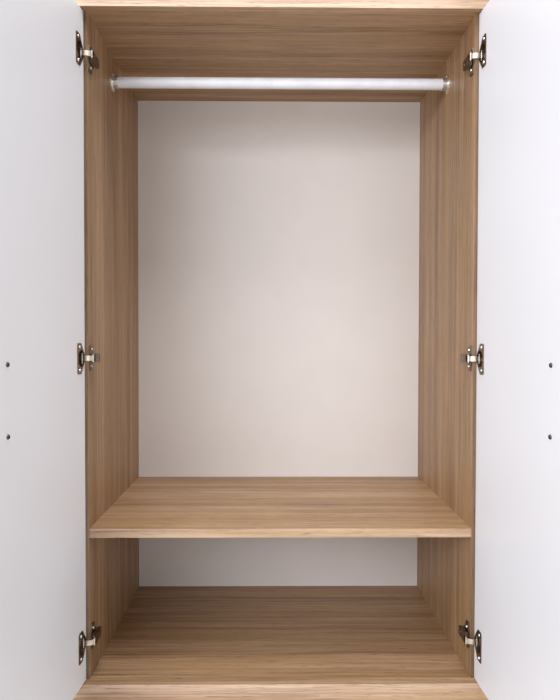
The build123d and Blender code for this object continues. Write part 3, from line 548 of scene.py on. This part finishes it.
def screw_tree():
    """Geometry Nodes tree that sets a cross-recess screw on every point, head along the point's outward."""
    tree = bpy.data.node_groups.new("cross_recess_screws", "GeometryNodeTree")
    sockets = tree.interface
    sockets.new_socket("Geometry", in_out="INPUT", socket_type="NodeSocketGeometry")
    for title in ("Face radius", "Seat radius", "Head height", "Shank radius", "Shank length",
                  "Recess width", "Recess span"):
        sockets.new_socket(title, in_out="INPUT", socket_type="NodeSocketFloat").subtype = "DISTANCE"
    sockets.new_socket("Seed", in_out="INPUT", socket_type="NodeSocketInt")
    sockets.new_socket("Finish", in_out="INPUT", socket_type="NodeSocketMaterial")
    sockets.new_socket("Geometry", in_out="OUTPUT", socket_type="NodeSocketGeometry")
    given = add(tree, "NodeGroupInput").outputs
    head = add(tree, "GeometryNodeMeshCone", {
        "Vertices": SCREW_SIDES, "Radius Top": given["Face radius"], "Radius Bottom": given["Seat radius"],
        "Depth": given["Head height"]})
    below = add(tree, "ShaderNodeMath", {0: given["Head height"], 1: -1.0}, operation="MULTIPLY")
    sink = add(tree, "ShaderNodeCombineXYZ", {"Z": below.outputs[0]})
    lowered = add(tree, "GeometryNodeTransform", {"Geometry": head.outputs["Mesh"],
                                                  "Translation": sink.outputs[0]})
    slot_depth = add(tree, "ShaderNodeMath", {0: given["Head height"], 1: RECESS_DEPTH},
                     operation="MULTIPLY")
    slot_one = add(tree, "ShaderNodeCombineXYZ", {"X": given["Recess width"], "Y": given["Recess span"],
                                                  "Z": slot_depth.outputs[0]})
    slot_two = add(tree, "ShaderNodeCombineXYZ", {"X": given["Recess span"], "Y": given["Recess width"],
                                                  "Z": slot_depth.outputs[0]})
    first = add(tree, "GeometryNodeMeshCube", {"Size": slot_one.outputs[0]})
    second = add(tree, "GeometryNodeMeshCube", {"Size": slot_two.outputs[0]})
    cut = add(tree, "GeometryNodeMeshBoolean", {"Mesh 1": lowered.outputs[0]}, operation="DIFFERENCE",
              solver="EXACT")
    for tool in (first, second):
        tree.links.new(tool.outputs["Mesh"], cut.inputs["Mesh 2"])
    shank = add(tree, "GeometryNodeMeshCylinder", {"Vertices": SCREW_SIDES // 2,
                                                   "Radius": given["Shank radius"],
                                                   "Depth": given["Shank length"]})
    half = add(tree, "ShaderNodeMath", {0: given["Shank length"], 1: -0.5, 2: below.outputs[0]},
               operation="MULTIPLY_ADD")
    down = add(tree, "ShaderNodeCombineXYZ", {"Z": half.outputs[0]})
    stem = add(tree, "GeometryNodeTransform", {"Geometry": shank.outputs["Mesh"],
                                               "Translation": down.outputs[0]})
    whole = add(tree, "GeometryNodeJoinGeometry")
    for part in (cut.outputs["Mesh"], stem.outputs[0]):
        tree.links.new(part, whole.inputs[0])
    outward = add(tree, "GeometryNodeInputNamedAttribute", {"Name": "outward"}, data_type="FLOAT_VECTOR")
    facing = add(tree, "FunctionNodeAlignRotationToVector", {"Vector": outward.outputs[0]}, axis="Z")
    turn = add(tree, "FunctionNodeRandomValue", {"Max": QUARTER_TURN, "Seed": given["Seed"]},
               data_type="FLOAT")
    spin = add(tree, "FunctionNodeAxisAngleToRotation", {"Axis": (0.0, 0.0, 1.0), "Angle": turn.outputs[1]})
    rest = add(tree, "FunctionNodeRotateRotation", {"Rotation": facing.outputs[0],
                                                    "Rotate By": spin.outputs[0]}, rotation_space="LOCAL")
    placed = add(tree, "GeometryNodeInstanceOnPoints", {"Points": given["Geometry"],
                                                        "Instance": whole.outputs[0],
                                                        "Rotation": rest.outputs[0]})
    real = add(tree, "GeometryNodeRealizeInstances", {0: placed.outputs[0]})
    done = add(tree, "GeometryNodeSetMaterial", {"Geometry": real.outputs[0], "Material": given["Finish"]})
    add(tree, "NodeGroupOutput", {0: done.outputs[0]})
    return tree


def screw_set(tree, node, hardware, material, head_height, countersunk):
    """The screws of one CAD node, as one plain mesh made by the screw tree."""
    places = screw_places(node)
    mesh = bpy.data.meshes.new(node + "_points")
    mesh.from_pydata([place[0] for place in places], [], [])
    outward = mesh.attributes.new("outward", "FLOAT_VECTOR", "POINT")
    for item, place in zip(outward.data, places):
        item.vector = place[1]
    source = bpy.data.objects.new(node + "_source", mesh)
    bpy.context.scene.collection.objects.link(source)
    radius, length = places[0][2], places[0][3]
    shank = radius * SHANK_SHARE
    values = {
        "Face radius": radius if countersunk else radius * PAN_TOP_SHARE,
        "Seat radius": shank if countersunk else radius,
        "Head height": head_height,
        "Shank radius": shank,
        "Shank length": length - head_height,
        "Recess width": 2 * radius * hardware.recess_width,
        "Recess span": 2 * radius * hardware.recess_span,
        "Seed": hardware.screw_seed,
        "Finish": material,
    }
    modifier = source.modifiers.new("screws", "NODES")
    modifier.node_group = tree
    for item in tree.interface.items_tree:
        if item.in_out == "INPUT" and item.name in values:
            modifier[item.identifier] = values[item.name]
    depsgraph = bpy.context.evaluated_depsgraph_get()
    made = bpy.data.meshes.new_from_object(source.evaluated_get(depsgraph))
    if not made.polygons:
        raise RuntimeError(f"no screws were made for {node}")
    bpy.data.objects.remove(source)
    made.name = node + "_recessed"
    made.shade_smooth()
    made.set_sharp_from_angle(angle=SMOOTH_ANGLE)
    piece = bpy.data.objects.new(node + "_recessed", made)
    bpy.context.scene.collection.objects.link(piece)
    finish_piece(piece, material, [node])


# ---- operators -----------------------------------------------------------------------------------
class WARDROBE_OT_boards(bpy.types.Operator):
    """Lay the oak decor on the carcass, its edge bands and the plinth, and lacquer the back sheet"""
    bl_idname = "wardrobe.boards"
    bl_label = "Finish the boards"

    def execute(self, context):
        finish = context.scene.wardrobe_finish
        upright = oak_decor("oak_decor_upright", finish, UPRIGHT)
        level = oak_decor("oak_decor_level", finish, LEVEL)
        # the band and plinth colour factors are painted light; the upright bands also get painted shade
        band = oak_decor("oak_abs_edge_band_painted_light_and_shade", finish, None, painted_light=BAND_PAINTED_LIGHT, roughness=0.36)
        plinth = oak_decor("oak_decor_plinth", finish, LEVEL, painted_light=PLINTH_PAINTED_LIGHT)
        for hand in HANDS:
            dress(f"side_panel_{hand}", upright)
        for name in ("top_panel", "bottom_panel", "fixed_shelf"):
            dress(name, level)
        dress("carcass_edge_bands", band)
        for name in frame["nodes"]:
            if name.startswith("plinth_"):
                dress(name, plinth)
        dress("back_panel", lacquered_hardboard(finish))
        dress("carcass_dowels", turned_beech())
        rounded("glides_moulded", ["floor_glides"], 0.6 * MM, moulded_plastic())
        return {"FINISHED"}


class WARDROBE_OT_doors(bpy.types.Operator):
    """Face the doors in white melamine and round their edge bands"""
    bl_idname = "wardrobe.doors"
    bl_label = "Finish the doors"

    def execute(self, context):
        finish, hardware = context.scene.wardrobe_finish, context.scene.wardrobe_hardware
        face, band = white_melamine(finish), edge_band_plastic(finish)
        for hand in HANDS:
            dress(f"door_{hand}", face)
            rounded(f"door_band_rounded_{hand}", [f"door_edge_band_{hand}"], hardware.band_round, band)
        return {"FINISHED"}


class WARDROBE_OT_rail(bpy.types.Operator):
    """Coat the hanging rail and cast its two sockets"""
    bl_idname = "wardrobe.rail"
    bl_label = "Hang the rail"

    def execute(self, context):
        finish = context.scene.wardrobe_finish
        coat = powder_coat(finish.rail_white, 0.36, 0.46)
        rounded("rail_tube", ["hanging_rail"], 0.2 * MM, coat)
        # die-cast zinc under thin chrome: pale, with small glints from the casting's grain
        zinc = plated_steel("chromed_zinc_casting", linear("#e9e7e4"), linear("#cfccc8"), 0.26, 0.50,
                            size=1.5 * MM)
        for hand in HANDS:
            rounded(f"rail_socket_cast_{hand}", [f"rail_socket_{hand}"], 0.5 * MM, zinc)
        return {"FINISHED"}


class WARDROBE_OT_hinges(bpy.types.Operator):
    """Make the pressed cups, arms, plates and links of the six concealed hinges, and their pins"""
    bl_idname = "wardrobe.hinges"
    bl_label = "Fit the hinges"

    def execute(self, context):
        finish, hardware = context.scene.wardrobe_finish, context.scene.wardrobe_hardware
        # nickel over pressed steel: warm grey, half bright, duller where the bath ran thin
        nickel = plated_steel("nickel_plated_steel", tint(finish.nickel),
                              tint([c * 0.6 for c in finish.nickel]), 0.28, 0.46, size=5 * MM)
        # the link is bent from rolled strip, with rolling marks across it; its pale cream colour, lighter
        # than the arm's nickel, is a painted reflection
        bright = plated_steel("rolled_link_steel_painted_reflection", linear("#dccfc2"), linear("#c2b5a7"), 0.34, 0.50,
                              stretch=(1.0, 1.0, 0.05), size=0.8 * MM)
        pin = plated_steel("zinc_plated_wire", linear("#c9c7c2"), linear("#9c9a95"), 0.22, 0.38, size=1 * MM)
        for hand in HANDS:
            for level in LEVELS:
                for kind, material, slot in (("cup", nickel, "hinge_nickel"), ("arm", nickel, "hinge_nickel"),
                                             ("plate", nickel, "hinge_nickel"),
                                             ("link", bright, "hinge_link_steel")):
                    source = f"hinge_{kind}_{hand}_{level}"
                    rounded(f"{source}_pressed", [source], hardware.steel_round, material)
            dress(f"hinge_cup_pins_{hand}", pin)
        dress("hinge_arm_pins", pin)
        return {"FINISHED"}


class WARDROBE_OT_handles(bpy.types.Operator):
    """Brush the two bar handles"""
    bl_idname = "wardrobe.handles"
    bl_label = "Fit the handles"

    def execute(self, context):
        # satin-brushed stainless steel: fine lines along the bar stretch each highlight sideways
        brushed = plated_steel("brushed_stainless_steel", linear("#c8c6c1"), linear("#aaa7a1"), 0.24, 0.42,
                               stretch=(1.0, 1.0, 0.04), size=0.7 * MM)
        for hand in HANDS:
            rounded(f"handle_brushed_{hand}", [f"handle_{hand}"], 0.5 * MM, brushed)
        return {"FINISHED"}


class WARDROBE_OT_screws(bpy.types.Operator):
    """Set a cross-recess screw wherever the frame has one"""
    bl_idname = "wardrobe.screws"
    bl_label = "Drive the screws"

    def execute(self, context):
        hardware = context.scene.wardrobe_hardware
        zinc = plated_steel("zinc_plated_screw", linear("#bdbab3"), linear("#8e8a82"), 0.24, 0.45,
                            size=1.5 * MM)
        # the handle screws are blackened: dark grey with a thin oil sheen
        black = plated_steel("blackened_screw", linear("#5b5855"), linear("#3d3b39"), 0.30, 0.50,
                             size=1.5 * MM)
        tree = screw_tree()
        # node, height of the head in millimetres, whether it is countersunk, finish
        groups = [("carcass_screws", 3.0, True, zinc), ("back_panel_screws", 2.0, True, zinc),
                  ("hinge_plate_screws", 2.0, False, zinc), ("hinge_arm_screws", 1.2, False, zinc),
                  ("rail_socket_screws", 1.6, False, zinc)]
        for hand in HANDS:
            groups += [(f"hinge_cup_screws_{hand}", 2.0, False, zinc),
                       (f"handle_screws_{hand}", 2.2, False, black)]
        for name, head, countersunk, material in groups:
            screw_set(tree, name, hardware, material, head * MM, countersunk)
        return {"FINISHED"}


class WARDROBE_OT_stage(bpy.types.Operator):
    """Lay the pale floor, hang the soft lights and stand the camera"""
    bl_idname = "wardrobe.stage"
    bl_label = "Set the studio"

    def execute(self, context):
        scene, stage = context.scene, context.scene.wardrobe_stage
        floor_mesh = bpy.data.meshes.new("studio_floor")
        turns = ((-1, -1), (1, -1), (1, 1), (-1, 1))
        floor_mesh.from_pydata([(x * FLOOR_REACH, y * FLOOR_REACH, 0) for x, y in turns], [], [(0, 1, 2, 3)])
        floor = bpy.data.objects.new("studio_floor", floor_mesh)
        floor_mesh.materials.append(studio_paint(stage))
        scene.collection.objects.link(floor)
        powers = {"key": stage.key_power, "fill": stage.fill_power, "overhead": stage.overhead_power}
        for name, (place, aim, size) in LAMPS.items():
            lamp = bpy.data.lights.new(name, "AREA")
            lamp.shape, lamp.size, lamp.energy = "DISK", size, powers[name]
            lamp.color = stage.key_tint
            holder = bpy.data.objects.new(name, lamp)
            holder.location = place
            holder.rotation_euler = (Vector(aim) - Vector(place)).to_track_quat("-Z", "Y").to_euler()
            scene.collection.objects.link(holder)
        world = bpy.data.worlds.new("studio")
        world.use_nodes = True
        world.node_tree.nodes.clear()
        glow = add(world.node_tree, "ShaderNodeBackground", {"Color": tint(stage.sky_tint),
                                                             "Strength": stage.sky})
        add(world.node_tree, "ShaderNodeOutputWorld", {0: glow.outputs[0]})
        scene.world = world
        scene.view_settings.view_transform = "Standard"
        pitch, yaw, roll = stage.turn
        ahead = Vector((math.sin(yaw) * math.cos(pitch), math.cos(yaw) * math.cos(pitch), math.sin(pitch)))
        level = Vector((math.cos(yaw), -math.sin(yaw), 0.0))
        above = level.cross(ahead)
        across = level * math.cos(roll) + above * math.sin(roll)
        upwards = above * math.cos(roll) - level * math.sin(roll)
        lens = bpy.data.cameras.new("camera")
        lens.lens, lens.sensor_width = stage.lens, 36.0
        camera = bpy.data.objects.new("camera", lens)
        facing = Matrix((across, upwards, -ahead)).transposed().to_4x4()
        camera.matrix_world = Matrix.Translation(stage.eye) @ facing
        scene.collection.objects.link(camera)
        scene.camera = camera
        return {"FINISHED"}


class WARDROBE_PT_panel(bpy.types.Panel):
    """The wardrobe's sizes, colours and pieces"""
    bl_label = "Wardrobe"
    bl_idname = "WARDROBE_PT_panel"
    bl_space_type = "VIEW_3D"
    bl_region_type = "UI"
    bl_category = "Wardrobe"

    def draw(self, context):
        for group in (context.scene.wardrobe_finish, context.scene.wardrobe_hardware,
                      context.scene.wardrobe_stage):
            box = self.layout.box()
            for name in group.bl_rna.properties.keys():
                if name not in ("rna_type", "name"):
                    box.prop(group, name)
        for operator in OPERATORS:
            self.layout.operator(operator.bl_idname)


GROUPS = {"wardrobe_finish": WardrobeFinish, "wardrobe_hardware": WardrobeHardware,
          "wardrobe_stage": WardrobeStage}
OPERATORS = (WARDROBE_OT_boards, WARDROBE_OT_doors, WARDROBE_OT_rail, WARDROBE_OT_hinges,
             WARDROBE_OT_handles, WARDROBE_OT_screws, WARDROBE_OT_stage)
CLASSES = (*GROUPS.values(), *OPERATORS, WARDROBE_PT_panel)


def register():
    for cls in CLASSES:
        bpy.utils.register_class(cls)
    for name, group in GROUPS.items():
        setattr(bpy.types.Scene, name, bpy.props.PointerProperty(type=group))


def unregister():
    for name in GROUPS:
        delattr(bpy.types.Scene, name)
    for cls in reversed(CLASSES):
        bpy.utils.unregister_class(cls)


def main():
    register()
    bpy.ops.wardrobe.boards()
    bpy.ops.wardrobe.doors()
    bpy.ops.wardrobe.rail()
    bpy.ops.wardrobe.hinges()
    bpy.ops.wardrobe.handles()
    bpy.ops.wardrobe.screws()
    bpy.ops.wardrobe.stage()


if __name__ == "__main__":
    main()
